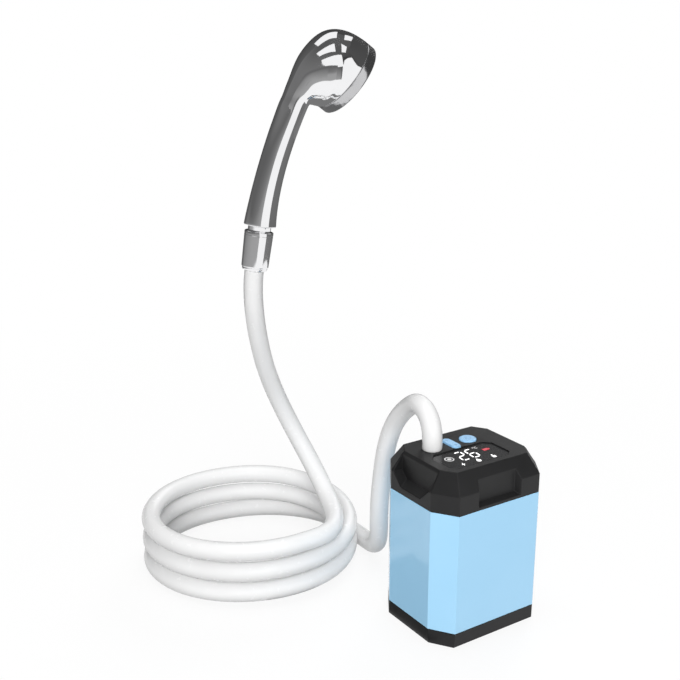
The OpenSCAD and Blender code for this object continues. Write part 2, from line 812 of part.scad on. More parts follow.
// Middle, heading, radius and width of the handset's sections: the handle, then a fan about the neck
function handle_ring(x) =
    let (slope = atan(1.8 * lean / handle_l * pow(x, 0.8)))
    [[lean * pow(x, 1.8), 0, z_handle + handle_l * x], [sin(slope), 0, cos(slope)],
    grip_d / 2 + (end_r - grip_d / 2) * pow(1 - x, 4), 1 + neck_wide * ease((x - 0.45) / 0.5)];
function fan_ring(x) =
    let (a = fan_from + (fan_to - fan_from) * x, d = grip_d + (head_d - grip_d) * ease(1.27 * (x - 0.08)),
        foot = neck_at + (neck_to - neck_at) * x, m = foot + d / 2 * [cos(a), sin(a)])
    [[m.x, 0, m.y], [sin(a), 0, -cos(a)], d / 2, 1 + neck_wide * (1 - ease(x * 1.6))];
handle_rings = [for (x = [0, 0.04, 0.12, 0.24, 0.4, 0.56, 0.7, 0.82, 0.92]) handle_ring(x)];
fan_rings = [for (i = [0:12]) fan_ring(i / 12)];
sections = concat(handle_rings, fan_rings);
face_mid = sections[len(sections) - 1][0] + band * [cos(face_down), 0, -sin(face_down)];

// Handset: one hollow moulding from the threaded stub to the back of the head
module handset_body() {
    sides = 32;
    last = len(sections) - 1;
    outside = [for (s = sections) ring(s[0], s[1], [0, 1, 0], s[2], sides, s[3])];
    bores = [for (i = [0:last]) i == 0 ? stub_r - 3 : i == last ? plate_r - 1.5 : sections[i][2] - shell_t];
    inside = [for (i = [last:-1:0]) ring(sections[i][0], sections[i][1], [0, 1, 0], bores[i], sides)];
    color(chrome) at_nut() {
        ring_skin(concat(outside, inside));
        pipe(stub_r - 3.5, stub_r, z_stub, z_handle + 0.7);
    }
}

// Places a piece on the spray face, +Z outward from the front of the ring
module at_face() {
    at_nut() translate(face_mid) rotate([0, 90 + face_down, 0]) children();
}

// Ring around the spray face
module spray_ring() {
    r = head_d / 2;
    color(chrome) at_face() rotate_extrude() polygon([[plate_r + fit, -band], [r - 0.5, -band],
        [r - 0.5, -band + 0.6], [r, -band + 0.9], [r, -0.8], [r - 0.8, 0], [plate_r + fit, 0]]);
}

// Every nozzle of the spray face
module at_nozzles() {
    for (r = nozzle_rings, i = [0:r[0] - 1]) rotate(360 * i / r[0]) translate([r[1], 0, 0]) children();
}

// Spray plate, seated on the rim of the handset
module spray_plate() {
    color(grey) at_face() difference() {
        post(plate_r, -band, -face_in);
        post(plate_r - 2.3, -band - 1, -face_in - plate_t);
        at_nozzles() post(nozzle_r + 0.1, -band, 1, $fn = 12);
    }
}

// Rubber mat behind the plate, with a nozzle through each hole
module nozzle_mat() {
    z0 = -face_in - plate_t;
    color(white) at_face() difference() {
        union() {
            post(plate_r - 2.3 - fit, z0 - mat_t, z0);
            at_nozzles() post(nozzle_r, z0 - 0.5, -face_in + nozzle_up, $fn = 12);
        }
        at_nozzles() post(0.5, z0 - mat_t - 1, 2, $fn = 6);
    }
}

base_cap();
inlet_grille();
filter_foam();
volute_cover();
volute_case();
impeller();
motor_rotor();
motor_can();
shaft_seal();
body_sleeve();
battery_tray();
battery_cells();
battery_clip();
top_cap();
cap_gasket();
control_board();
board_screws();
display_module();
display_window();
tact_switches();
power_button();
mode_button();
outlet_spigot();
outlet_oring();
delivery_tube();
charge_socket();
charge_plug();
base_screws();
hose_arch();
hose_coil();
hose_riser();
hose_tail();
hose_nut();
hose_washer();
handset_body();
spray_ring();
spray_plate();
nozzle_mat();
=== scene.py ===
"""The look of a camp shower pump with its hose and hand shower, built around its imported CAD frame.

Metres, +Z up. The origin lies on the floor under the pump, whose front faces -Y.
"""

import math

import bpy
import numpy as np
from mathutils import Matrix, Vector


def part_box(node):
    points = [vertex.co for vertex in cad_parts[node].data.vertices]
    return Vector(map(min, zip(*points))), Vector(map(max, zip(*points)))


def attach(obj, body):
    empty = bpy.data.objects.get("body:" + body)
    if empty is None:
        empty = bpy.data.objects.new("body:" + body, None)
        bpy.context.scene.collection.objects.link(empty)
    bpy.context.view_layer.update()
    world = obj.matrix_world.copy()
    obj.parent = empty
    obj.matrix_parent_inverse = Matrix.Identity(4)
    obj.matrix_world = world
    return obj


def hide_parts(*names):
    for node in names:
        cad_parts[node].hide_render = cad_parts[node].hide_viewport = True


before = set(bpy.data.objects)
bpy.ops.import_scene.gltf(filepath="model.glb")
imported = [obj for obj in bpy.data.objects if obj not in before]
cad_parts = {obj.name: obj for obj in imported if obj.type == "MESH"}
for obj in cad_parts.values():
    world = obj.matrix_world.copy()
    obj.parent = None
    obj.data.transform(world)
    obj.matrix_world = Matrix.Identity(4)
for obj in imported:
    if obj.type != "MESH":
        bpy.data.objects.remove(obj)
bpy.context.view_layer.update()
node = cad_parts
scene = bpy.context.scene
scene.view_settings.view_transform = "Standard"

# Camera: it stands to the left of the pump's front, a little above the hand shower, and looks down at
# the object without any roll. Its place was worked out from the edges of the pump case.
camera = bpy.data.objects.new("camera", bpy.data.cameras.new("camera"))
camera.data.sensor_width = 36
camera.data.lens = 55.89
camera_right = Vector((0.83476512, -0.55060621, 0))
camera_up = Vector((0.16060743, 0.24349431, 0.9565123))
camera_back = Vector((-0.52666161, -0.7984631, 0.291692))
camera.matrix_world = (
    Matrix.Translation((-0.4404, -0.5126, 0.406))
    @ Matrix((camera_right, camera_up, camera_back)).transposed().to_4x4()
)
scene.collection.objects.link(camera)
scene.camera = camera


# Hose: 1.83 m of smooth white PVC tube, pushed over the pump's outlet. It bends down behind the
# pump, lies in three turns, and rises stiffly out of the coil into the hand shower's nut.
hose_across = 0.014
hose_outlet = np.array([-0.0194, 0.0113, 0.124])
nut_at = np.array([-0.081, 0.145, 0.2314])
nut_turn = math.radians(-10.4)
nut_tilt = math.radians(8.7)
nut_seat = 0.01
nut_frame = (
    Matrix.Translation(nut_at)
    @ Matrix.Rotation(nut_turn, 4, "Z")
    @ Matrix.Rotation(nut_tilt, 4, "Y")
)
nut_axis = np.array(nut_frame.to_3x3() @ Vector((0, 0, 1)))
coil_middle = np.array([-0.0875, 0.1492])
coil_turn = math.radians(33.4)
coil_long = np.array([math.cos(coil_turn), -math.sin(coil_turn)])
coil_wide = np.array([math.sin(coil_turn), math.cos(coil_turn)])
coil_half = (0.0763, 0.0705)
coil_rise = 0.0162
coil_in = 33.4
coil_out = 1036
coil_step = 15
coil_lead = 0.0095
spout_long = 0.0076
end_long = 0.006
hose_step = 0.0025
arch_points = np.array([
    (-18.1, 14.8, 140.2), (-16.4, 22.5, 146.8), (-14.1, 35.2, 148.5), (-12, 45.5, 143.6),
    (-11.1, 54.7, 136.4), (-11.1, 62.3, 127.9), (-11.7, 68.1, 117.9), (-12.7, 71.7, 106.9),
    (-14, 73.5, 95.6), (-15.5, 73.9, 84.1), (-17, 73.6, 72.7), (-18.2, 73.4, 61.2),
    (-18.3, 73.8, 49.5), (-17.1, 75.6, 38.1), (-14.5, 79.6, 27.3), (-11.1, 86.2, 18.2), (-7.7, 95.2, 11.7),
]) / 1000
riser_points = np.array([
    (-57.9, 80.7, 43.8), (-46.9, 91.6, 44.8), (-40.1, 105.4, 47.5), (-36.3, 119.4, 52.7),
    (-34.7, 132.5, 60.8), (-35.5, 143.8, 71.3), (-38.5, 152.7, 83.6), (-43.1, 158.7, 97.1),
    (-48.8, 161.7, 111.2), (-55, 162.1, 125.4), (-61.2, 160.5, 139.4), (-67.1, 157.5, 153.4),
    (-72.3, 153.9, 167.5), (-76.8, 150.4, 181.9), (-80.1, 147.6, 196.7), (-81.9, 145.9, 212),
]) / 1000


def ease(x):
    c = min(1.0, max(0.0, x))
    return c * c * (3 - 2 * c)


def coil_point(angle):
    turns = math.floor((angle - 90) / 360)
    rest = angle - 90 - 360 * turns
    climb = max(0, turns + 0.3 * ease((rest - 90) / 180) + 0.7 * ease((rest - 225) / 135))
    lead = coil_lead * (1 - ease((angle - coil_in) / 90))
    way = math.radians(angle)
    along = (coil_half[0] + lead) * math.cos(way) * coil_long
    across = (coil_half[1] + lead) * math.sin(way) * coil_wide
    return np.array([*(coil_middle + along + across), hose_across / 2 + coil_rise * climb])


def smooth_line(points, step):
    """Points about a step apart on a cubic spline through the given points, in any number of columns."""
    points = np.asarray(points, float)
    gaps = np.linalg.norm(np.diff(points[:, :3], axis=0), axis=1)
    count = len(points)
    grid = np.zeros((count, count))
    pull = np.zeros_like(points)
    grid[0, 0] = grid[-1, -1] = 1
    for i in range(1, count - 1):
        grid[i, i - 1:i + 2] = gaps[i - 1], 2 * (gaps[i - 1] + gaps[i]), gaps[i]
        rise = (points[i + 1] - points[i]) / gaps[i] - (points[i] - points[i - 1]) / gaps[i - 1]
        pull[i] = 6 * rise
    bend = np.linalg.solve(grid, pull)
    out = []
    for i in range(count - 1):
        parts = max(1, round(gaps[i] / step))
        for k in range(parts + (i == count - 2)):
            a, b = gaps[i] * (1 - k / parts), gaps[i] * k / parts
            out.append(
                (bend[i] * a**3 + bend[i + 1] * b**3) / (6 * gaps[i])
                + (points[i] / gaps[i] - bend[i] * gaps[i] / 6) * a
                + (points[i + 1] / gaps[i] - bend[i + 1] * gaps[i] / 6) * b
            )
    return np.array(out)


coil_angles = np.arange(coil_in, coil_out, coil_step)
coil_turns = [coil_point(a) for a in coil_angles]
way_in = np.array([0, 1, 0])
way_out = coil_point(coil_angles[-1] + 1) - coil_turns[-1]
way_out = way_out / np.linalg.norm(way_out)
coil_start = coil_turns[0] - hose_across * way_in
coil_end = coil_turns[-1] + end_long * way_out
hose_route = np.array(
    [hose_outlet, hose_outlet + (0, 0, spout_long), *arch_points]
    + [coil_start - hose_across * way_in, coil_start, *coil_turns, coil_end]
    + [coil_end + end_long * way_out, *riser_points]
    + [nut_at + (nut_seat - hose_across) * nut_axis, nut_at + nut_seat * nut_axis]
)
hose_line = smooth_line(hose_route, hose_step)
hose_line[:, 2] = np.maximum(hose_line[:, 2], hose_across / 2)
hose_lip = [(0.0, 0.93), (0.0003, 0.975), (0.0008, 1.0)]
hose_line = np.array([hose_outlet + (0, 0, z) for z, _ in hose_lip] + list(hose_line[1:]))
hose_curve = bpy.data.curves.new("hose", "CURVE")
hose_curve.dimensions = "3D"
hose_curve.bevel_depth = hose_across / 2
hose_curve.bevel_resolution = 12
hose_curve.use_fill_caps = True
hose_spline = hose_curve.splines.new("POLY")
hose_spline.points.add(len(hose_line) - 1)
for i, place in enumerate(hose_line):
    hose_spline.points[i].co = (*place, 1)
    hose_spline.points[i].radius = hose_lip[i][1] if i < len(hose_lip) else 1.0
hose_spline.use_smooth = True
hose = bpy.data.objects.new("hose", hose_curve)
scene.collection.objects.link(hose)


def finish_of(name, dark, pale, rough, patch, grain, relief, metal=0.0, coat=0.0, shine=0.5):
    """A moulded, drawn or plated finish: two shades in soft patches, and fine grain in gloss and relief."""
    made = bpy.data.materials.new(name)
    made.use_nodes = True
    tree = made.node_tree
    shader = tree.nodes["Principled BSDF"]
    shader.inputs["Metallic"].default_value = metal
    shader.inputs["Specular IOR Level"].default_value = shine
    shader.inputs["Coat Weight"].default_value = coat
    shader.inputs["Coat Roughness"].default_value = 0.04
    place = tree.nodes.new("ShaderNodeTexCoord")
    patches = tree.nodes.new("ShaderNodeTexNoise")
    patches.inputs["Scale"].default_value = patch
    patches.inputs["Detail"].default_value = 3
    tree.links.new(place.outputs["Object"], patches.inputs["Vector"])
    shades = tree.nodes.new("ShaderNodeValToRGB")
    shades.color_ramp.elements[0].position = 0.35
    shades.color_ramp.elements[0].color = (*dark, 1)
    shades.color_ramp.elements[1].position = 0.65
    shades.color_ramp.elements[1].color = (*pale, 1)
    tree.links.new(patches.outputs["Fac"], shades.inputs["Fac"])
    tree.links.new(shades.outputs["Color"], shader.inputs["Base Color"])
    grains = tree.nodes.new("ShaderNodeTexNoise")
    grains.inputs["Scale"].default_value = grain
    grains.inputs["Detail"].default_value = 2
    tree.links.new(place.outputs["Object"], grains.inputs["Vector"])
    gloss = tree.nodes.new("ShaderNodeMapRange")
    gloss.inputs["From Min"].default_value = 0.3
    gloss.inputs["From Max"].default_value = 0.7
    gloss.inputs["To Min"].default_value = rough[0]
    gloss.inputs["To Max"].default_value = rough[1]
    tree.links.new(grains.outputs["Fac"], gloss.inputs["Value"])
    tree.links.new(gloss.outputs["Result"], shader.inputs["Roughness"])
    bump = tree.nodes.new("ShaderNodeBump")
    bump.inputs["Strength"].default_value = 0.35
    bump.inputs["Distance"].default_value = relief
    tree.links.new(grains.outputs["Fac"], bump.inputs["Height"])
    tree.links.new(bump.outputs["Normal"], shader.inputs["Normal"])
    return made


hose_white = finish_of(
    "hose_white", dark=(0.835, 0.835, 0.835), pale=(0.865, 0.865, 0.865),
    rough=(0.2, 0.28), patch=30, grain=240, relief=0.00004,
)
hose_curve.materials.append(hose_white)
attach(hose, "pump")
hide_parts("hose_arch", "hose_coil", "hose_riser")


# Base: a black moulded ABS tray that draws in a little to the floor, with a spoked grille in its
# floor, a foam disc on the grille, and four steel screws up into the sleeve.
shell_black = finish_of(
    "shell_black", dark=(0.009, 0.009, 0.0094), pale=(0.012, 0.012, 0.0125),
    rough=(0.42, 0.52), patch=60, grain=2600, relief=0.00003, shine=0.3,
)


def soften(piece, width, angle=18):
    """Rounds a CAD node's edges without touching its mesh: joins its faces' corners, then bevels them."""
    weld = piece.modifiers.new("weld", "WELD")
    weld.merge_threshold = 0.00001
    edge = piece.modifiers.new("edge", "BEVEL")
    edge.width = width
    edge.segments = 3
    edge.limit_method = "ANGLE"
    edge.angle_limit = math.radians(angle)
    edge.use_clamp_overlap = False
    edge.harden_normals = True


def dress(name, finish):
    """Gives a CAD node a finish of its own."""
    node[name].data.materials.clear()
    node[name].data.materials.append(finish)


foam_grey = finish_of(
    "foam_grey", dark=(0.03, 0.03, 0.032), pale=(0.075, 0.075, 0.08),
    rough=(0.9, 1.0), patch=700, grain=900, relief=0.0006,
)
screw_steel = finish_of(
    "screw_steel", dark=(0.5, 0.5, 0.52), pale=(0.62, 0.62, 0.64),
    rough=(0.25, 0.4), patch=200, grain=3000, relief=0.00001, metal=1,
)
for name in ("base_cap", "inlet_grille"):
    dress(name, shell_black)
    soften(node[name], 0.0004)
dress("filter_foam", foam_grey)
dress("base_screws", screw_steel)


# Wet end: a grey glass-filled casing with its cover and impeller, a steel motor with its rotor, a
# lip seal in the bulkhead, and a milky tube that leads the water up to the outlet.
works_grey = finish_of(
    "works_grey", dark=(0.26, 0.26, 0.27), pale=(0.32, 0.32, 0.33),
    rough=(0.4, 0.55), patch=120, grain=1800, relief=0.00003,
)
motor_steel = finish_of(
    "motor_steel", dark=(0.48, 0.48, 0.5), pale=(0.6, 0.6, 0.62),
    rough=(0.28, 0.42), patch=90, grain=1500, relief=0.00002, metal=1,
)
seal_rubber = finish_of(
    "seal_rubber", dark=(0.018, 0.018, 0.018), pale=(0.028, 0.028, 0.028),
    rough=(0.6, 0.75), patch=300, grain=1600, relief=0.00003,
)
tube_milky = finish_of(
    "tube_milky", dark=(0.7, 0.72, 0.74), pale=(0.78, 0.8, 0.81),
    rough=(0.15, 0.25), patch=80, grain=600, relief=0.00002,
)
for name in ("volute_cover", "volute_case", "impeller"):
    dress(name, works_grey)
for name in ("motor_rotor", "motor_can"):
    dress(name, motor_steel)
dress("shaft_seal", seal_rubber)
dress("delivery_tube", tube_milky)


# Sleeve: an eight-sided tube of glossy light blue ABS with sharp moulded corners. A bulkhead inside
# keeps the battery dry. The base is screwed to it and the cap is bonded into its top.
sleeve_blue = finish_of(
    "sleeve_blue", dark=(0.38, 0.71, 0.98), pale=(0.4, 0.73, 1.0),
    rough=(0.1, 0.16), patch=14, grain=500, relief=0.00001, coat=0.4,
)
dress("body_sleeve", sleeve_blue)
soften(node["body_sleeve"], 0.0005)


# Battery and board: two cells in printed film between a black tray and clip, and a green board with
# the display and two push switches, screwed under the cap.
cell_film = finish_of(
    "cell_film", dark=(0.08, 0.2, 0.42), pale=(0.1, 0.24, 0.48),
    rough=(0.3, 0.4), patch=60, grain=700, relief=0.00001,
)
board_green = finish_of(
    "board_green", dark=(0.01, 0.09, 0.03), pale=(0.02, 0.13, 0.05),
    rough=(0.3, 0.45), patch=400, grain=2500, relief=0.00002,
)
for name in ("battery_tray", "battery_clip"):
    dress(name, shell_black)
dress("battery_cells", cell_film)
dress("control_board", board_green)
dress("board_screws", screw_steel)
for name in ("display_module", "tact_switches"):
    dress(name, works_grey)


# Cap: black satin ABS with a fine spark texture, drawn in to a flat top, with a finger pocket at
# each end, a wide scoop front and back, and a rubber seal on its tongue.
cap_black = finish_of(
    "cap_black", dark=(0.011, 0.011, 0.0114), pale=(0.014, 0.014, 0.0145),
    rough=(0.4, 0.5), patch=50, grain=2600, relief=0.00003, shine=0.32,
)
gasket_grey = finish_of(
    "gasket_grey", dark=(0.16, 0.16, 0.17), pale=(0.2, 0.2, 0.21),
    rough=(0.6, 0.75), patch=200, grain=1500, relief=0.00002,
)
dress("top_cap", cap_black)
soften(node["top_cap"], 0.0005)
dress("cap_gasket", gasket_grey)
dress("outlet_spigot", shell_black)
dress("outlet_oring", gasket_grey)
dress("charge_socket", screw_steel)
dress("charge_plug", seal_rubber)


# Display: a smoked acrylic window glued into its seat in the cap's top. The display module below it
# lights up two figures and a few small signs, which show through the window.
window_smoked = finish_of(
    "window_smoked", dark=(0.018, 0.018, 0.019), pale=(0.024, 0.024, 0.025),
    rough=(0.16, 0.24), patch=40, grain=900, relief=0.00001,
)
dress("display_window", window_smoked)
window_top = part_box("display_window")[1].z
sign_thick = 0.00012


def lit(name, colour, glow):
    """A lit sign: its colour shines through, a little uneven as over a light guide."""
    made = bpy.data.materials.new(name)
    made.use_nodes = True
    tree = made.node_tree
    shader = tree.nodes["Principled BSDF"]
    shader.inputs["Base Color"].default_value = (*colour, 1)
    shader.inputs["Roughness"].default_value = 0.4
    shader.inputs["Emission Color"].default_value = (*colour, 1)
    place = tree.nodes.new("ShaderNodeTexCoord")
    guide = tree.nodes.new("ShaderNodeTexNoise")
    guide.inputs["Scale"].default_value = 500
    tree.links.new(place.outputs["Object"], guide.inputs["Vector"])
    span = tree.nodes.new("ShaderNodeMapRange")
    span.inputs["To Min"].default_value = glow * 0.85
    span.inputs["To Max"].default_value = glow * 1.1
    tree.links.new(guide.outputs["Fac"], span.inputs["Value"])
    tree.links.new(span.outputs["Result"], shader.inputs["Emission Strength"])
    return made


def plates(name, outlines, low, high):
    """A mesh of thin flat plates, one for each outline of points, in millimetres from the origin."""
    points, faces = [], []
    for outline in outlines:
        first, count = len(points), len(outline)
        points += [(x / 1000, y / 1000, low) for x, y in outline]
        points += [(x / 1000, y / 1000, high) for x, y in outline]
        faces.append([first + count + i for i in range(count)])
        faces.append([first + count - 1 - i for i in range(count)])
        for i in range(count):
            j = (i + 1) % count
            faces.append([first + i, first + j, first + count + j, first + count + i])
    mesh = bpy.data.meshes.new(name)
    mesh.from_pydata(points, [], faces)
    mesh.validate()
    made = bpy.data.objects.new(name, mesh)
    scene.collection.objects.link(made)
    return made


def figure(lit_bars, left, foot, wide, tall, bar, slant):
    """Outlines of a seven-bar figure's lit bars, each a bar with pointed ends."""
    half, gap = bar / 2, bar * 0.7
    mid = tall / 2
    ways = {
        "a": ((0, tall), (wide, tall)),
        "b": ((wide, mid), (wide, tall)),
        "c": ((wide, 0), (wide, mid)),
        "d": ((0, 0), (wide, 0)),
        "e": ((0, 0), (0, mid)),
        "f": ((0, mid), (0, tall)),
        "g": ((0, mid), (wide, mid)),
    }
    outlines = []
    for key in lit_bars:
        (x0, y0), (x1, y1) = ways[key]
        if y0 == y1:
            x0, x1 = x0 + gap, x1 - gap
            shape = [(x0, y0), (x0 + half, y0 - half), (x1 - half, y0 - half), (x1, y0),
                     (x1 - half, y0 + half), (x0 + half, y0 + half)]
        else:
            y0, y1 = y0 + gap, y1 - gap
            shape = [(x0, y0), (x0 + half, y0 + half), (x0 + half, y1 - half), (x0, y1),
                     (x0 - half, y1 - half), (x0 - half, y0 + half)]
        outlines.append([(left + x + slant * y, foot + y) for x, y in shape])
    return outlines


def disc(x, y, r, sides=24):
    """Outline of a round spot."""
    turn = [math.radians(360 * i / sides) for i in range(sides)]
    return [(x + r * math.cos(a), y + r * math.sin(a)) for a in turn]


def arc(x, y, r, thick, from_deg, to_deg, sides=20):
    """Outline of a bent bar."""
    turn = [math.radians(from_deg + (to_deg - from_deg) * i / sides) for i in range(sides + 1)]
    outer = [(x + r * math.cos(a), y + r * math.sin(a)) for a in turn]
    inner = [(x + (r - thick) * math.cos(a), y + (r - thick) * math.sin(a)) for a in reversed(turn)]
    return outer + inner


def box_of(x, y, w, d):
    """Outline of a rectangle about a point."""
    return [(x - w / 2, y - d / 2), (x + w / 2, y - d / 2), (x + w / 2, y + d / 2), (x - w / 2, y + d / 2)]


figure_form = {"foot": -14.4, "wide": 5.6, "tall": 12.8, "bar": 1, "slant": 0.11}
figures = plates(
    "display_figures",
    figure("abged", left=-12.6, **figure_form) + figure("afedcg", left=-3.6, **figure_form),
    window_top,
    window_top + sign_thick,
)
figures.data.materials.append(lit("figures_white", (0.95, 0.95, 0.95), 0.9))
bolt = [(0.9, 2.6), (-1.5, -0.3), (-0.1, -0.3), (-0.9, -2.6), (1.5, 0.5), (0.1, 0.5)]
drop_radius, drop_sink = 1.7, -0.7
drop_turn = np.radians(np.arange(30, -211, -20))
drop = [(0.0, 2.6)]
drop += [(drop_radius * math.cos(a), drop_sink + drop_radius * math.sin(a)) for a in drop_turn]
sign_row = -19.3
bolt_left, drop_left = -17, -4.1
signs_white = plates(
    "display_signs",
    [
        [(bolt_left + x, sign_row + y) for x, y in bolt],
        [(drop_left + x, sign_row + y) for x, y in drop],
        box_of(9.1, -20.2, 2.6, 2.8),
        box_of(9.1, -17.6, 1.2, 1.2),
    ],
    window_top,
    window_top + sign_thick,
)
signs_white.data.materials.append(lit("signs_white", (0.85, 0.85, 0.85), 0.7))
round_sign = (-19.7, -7.7)
signs_grey = plates(
    "display_dim_signs",
    [
        arc(*round_sign, 3.4, 0.8, 0, 350, 30),
        disc(*round_sign, 1.5),
        arc(6.2, -1.1, 0.7, 0.35, 0, 350, 14),
        arc(8.3, -1.9, 1.4, 0.5, 50, 310, 14),
    ],
    window_top,
    window_top + sign_thick,
)
signs_grey.data.materials.append(lit("signs_grey", (0.42, 0.42, 0.42), 0.5))
signs_red = plates(
    "display_red_sign",
    [box_of(12.0, -7.9, 4.6, 3.0), box_of(14.9, -7.9, 0.8, 1.4)],
    window_top,
    window_top + sign_thick,
)
signs_red.data.materials.append(lit("signs_red", (0.5, 0.015, 0.035), 0.45))
for piece in (figures, signs_white, signs_grey, signs_red):
    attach(piece, "pump")


# Buttons: light blue caps of the sleeve's plastic in thin dark surrounds, each on its own switch. A
# round one starts the pump and a long one steps through its settings. Their blue is painted darker
# than the sleeve's: painted shade on their tops.
# The caps' colour is the sleeve's blue with painted shade in it, so it is a little darker.
button_blue_painted_shade = finish_of(
    "button_blue_painted_shade", dark=(0.3, 0.57, 0.86), pale=(0.32, 0.59, 0.88),
    rough=(0.22, 0.3), patch=60, grain=1800, relief=0.00002,
)
mark_blue = finish_of(
    "mark_blue", dark=(0.12, 0.3, 0.55), pale=(0.14, 0.33, 0.6),
    rough=(0.35, 0.45), patch=60, grain=1800, relief=0.00001,
)
for name in ("power_button", "mode_button"):
    dress(name, button_blue_painted_shade)
    soften(node[name], 0.00025)
button_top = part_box("power_button")[1].z
mark_thick = 0.00005
stroke = 0.45
power_x, power_y = 12.4, 11.4
round_mark = plates(
    "power_button_mark",
    [arc(power_x, power_y, 2.3, stroke, 125, 415), box_of(power_x, power_y + 1.8, stroke, 2.2)],
    button_top,
    button_top + mark_thick,
)
mode_x, minus_y, plus_y = -2.5, 15.8, 6.4
mark_long, mark_wide = 2.4, 0.5
long_mark = plates(
    "mode_button_mark",
    [
        box_of(mode_x, minus_y, mark_long, mark_wide),
        box_of(mode_x, plus_y, mark_long, mark_wide),
        box_of(mode_x, plus_y, mark_wide, mark_long),
    ],
    button_top,
    button_top + mark_thick,
)
for piece, body in ((round_mark, "power_button"), (long_mark, "mode_button")):
    piece.data.materials.append(mark_blue)
    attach(piece, body)


# Hose nut: a tapered chrome-plated sleeve nut with a drawn-in lower end. It turns on the flange of
# the hose's tail and pulls the hand shower's threaded stub down on a flat washer.
nut_chrome = finish_of(
    "nut_chrome", dark=(0.87, 0.87, 0.88), pale=(0.9, 0.9, 0.91),
    rough=(0.05, 0.09), patch=60, grain=1200, relief=0.000004, metal=1,
)


def skin(name, rings, finish, sharp=35):
    """A closed skin over rings of points, each ring joined to the next and the two ends filled."""
    sides = len(rings[0])
    points = [p for ring in rings for p in ring]
    faces = []
    for i in range(len(rings) - 1):
        for k in range(sides):
            n = (k + 1) % sides
            faces.append((i * sides + k, i * sides + n, (i + 1) * sides + n, (i + 1) * sides + k))
    last = (len(rings) - 1) * sides
    faces.append(tuple(reversed(range(sides))))
    faces.append(tuple(last + k for k in range(sides)))
    mesh = bpy.data.meshes.new(name)
    mesh.from_pydata([tuple(p) for p in points], [], faces)
    mesh.validate()
    mesh.polygons.foreach_set("use_smooth", [True] * len(mesh.polygons))
    mesh.set_sharp_from_angle(angle=math.radians(sharp))
    mesh.materials.append(finish)
    made = bpy.data.objects.new(name, mesh)
    scene.collection.objects.link(made)
    return made


def turned(profile, place, sides=96):
    """Rings of a turned piece: pairs of radius and height in millimetres, set in a frame."""
    turn = [2 * math.pi * k / sides for k in range(sides)]
    rings = []
    for r, z in profile:
        r, z = r / 1000, z / 1000
        rings.append([place @ Vector((r * math.cos(a), r * math.sin(a), z)) for a in turn])
    return rings


nut_profile = [
    (7.15, 8.5), (7.15, 0.3), (7.4, 0.0), (8.1, 0.0), (8.7, 0.25), (9.05, 0.9), (9.2, 2.0), (9.22, 2.3),
    (9.35, 2.45), (9.65, 2.6), (9.78, 2.9), (9.82, 3.4), (10.08, 12.5), (10.4, 24.6), (10.42, 25.6),
    (10.3, 25.75), (10.3, 26.05), (10.44, 26.2), (10.47, 27.9), (10.35, 28.3), (10.05, 28.5), (8.6, 28.5),
    (8.4, 28.3), (8.4, 20),
]
nut = skin("nut", turned(nut_profile, nut_frame), nut_chrome)
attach(nut, "handset")
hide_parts("hose_nut")
dress("hose_tail", nut_chrome)
dress("hose_washer", seal_rubber)


# Hand shower: one hollow moulding of chrome-plated ABS, lofted from a round grip to a wide head that
# looks forward and down. A threaded stub at its foot goes into the nut.
handset_chrome = finish_of(
    "handset_chrome", dark=(0.87, 0.87, 0.88), pale=(0.9, 0.9, 0.91),
    rough=(0.03, 0.06), patch=30, grain=900, relief=0.000003, metal=1,
)
stub_radius = 8.3
foot_height = 32.5
handle_long = 94
handle_lean = 15.9
lean_power = 1.8
grip_radius = 9.7
foot_radius = 11.7
head_across = 56
neck_wide = 0.22
neck_from = np.array([25.4, foot_height + handle_long - 5])
neck_to = np.array([33.6, foot_height + handle_long - 5.7])
fan_from, fan_to = 160, 62
head_growth = [
    (0, 0.02), (0.15, 0.085), (0.3, 0.205), (0.45, 0.415), (0.6, 0.685), (0.72, 0.9), (0.86, 0.99), (1, 1),
]


def handle_section(x):
    slope = math.atan(lean_power * handle_lean / handle_long * x**(lean_power - 1))
    radius = grip_radius + (foot_radius - grip_radius) * (1 - x)**4
    return (handle_lean * x**lean_power, 0, foot_height + handle_long * x,
            math.sin(slope), math.cos(slope), radius, 1 + neck_wide * ease((x - 0.45) / 0.5))


def fan_section(x, growth):
    a = math.radians(fan_from + (fan_to - fan_from) * x)
    across = 2 * grip_radius + (head_across - 2 * grip_radius) * growth
    foot = neck_from + (neck_to - neck_from) * x
    return (foot[0] + across / 2 * math.cos(a), 0, foot[1] + across / 2 * math.sin(a),
            math.sin(a), -math.cos(a), across / 2, 1 + neck_wide * (1 - ease(1.6 * x)))


def handset_ring(section, sides=144):
    x, y, z, sx, sz, radius, wide = (float(v) for v in section)
    middle, along = Vector((x, y, z)), Vector((sx, 0, sz)).normalized()
    side = Vector((0, 1, 0))
    other = along.cross(side)
    turn = [2 * math.pi * k / sides for k in range(sides)]
    rim = [middle + radius * (wide * math.cos(a) * side + math.sin(a) * other) for a in turn]
    return [nut_frame @ (point / 1000) for point in rim]


sections = [handle_section(x) for x in (0, 0.04, 0.12, 0.24, 0.4, 0.56, 0.7, 0.82, 0.92)]
sections += [fan_section(x, growth) for x, growth in head_growth]
section_step = 1
sections = smooth_line(sections, section_step)
foot_turn = [
    (7.6, 16), (stub_radius, 16.6), (stub_radius, foot_height - 0.5), (8.5, foot_height - 0.1),
    (8.9, foot_height), (10.7, foot_height), (11.3, foot_height + 0.2), (11.6, foot_height + 0.6),
]
foot_rings = [handset_ring((0, 0, z, 0, 1, r, 1)) for r, z in foot_turn]
body_rings = [handset_ring(s) for s in sections[1:]]
last = np.array(sections[-1])
end_rings = [handset_ring((*last[:5], radius, 1)) for radius in (25.0, 12.0)]
handset = skin("handset_shell", foot_rings + body_rings + end_rings, handset_chrome)
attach(handset, "handset")
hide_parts("handset_body")
ring_satin = finish_of(
    "ring_satin", dark=(0.56, 0.56, 0.57), pale=(0.6, 0.6, 0.61),
    rough=(0.1, 0.18), patch=60, grain=1500, relief=0.000004, metal=1,
)
dress("spray_ring", ring_satin)
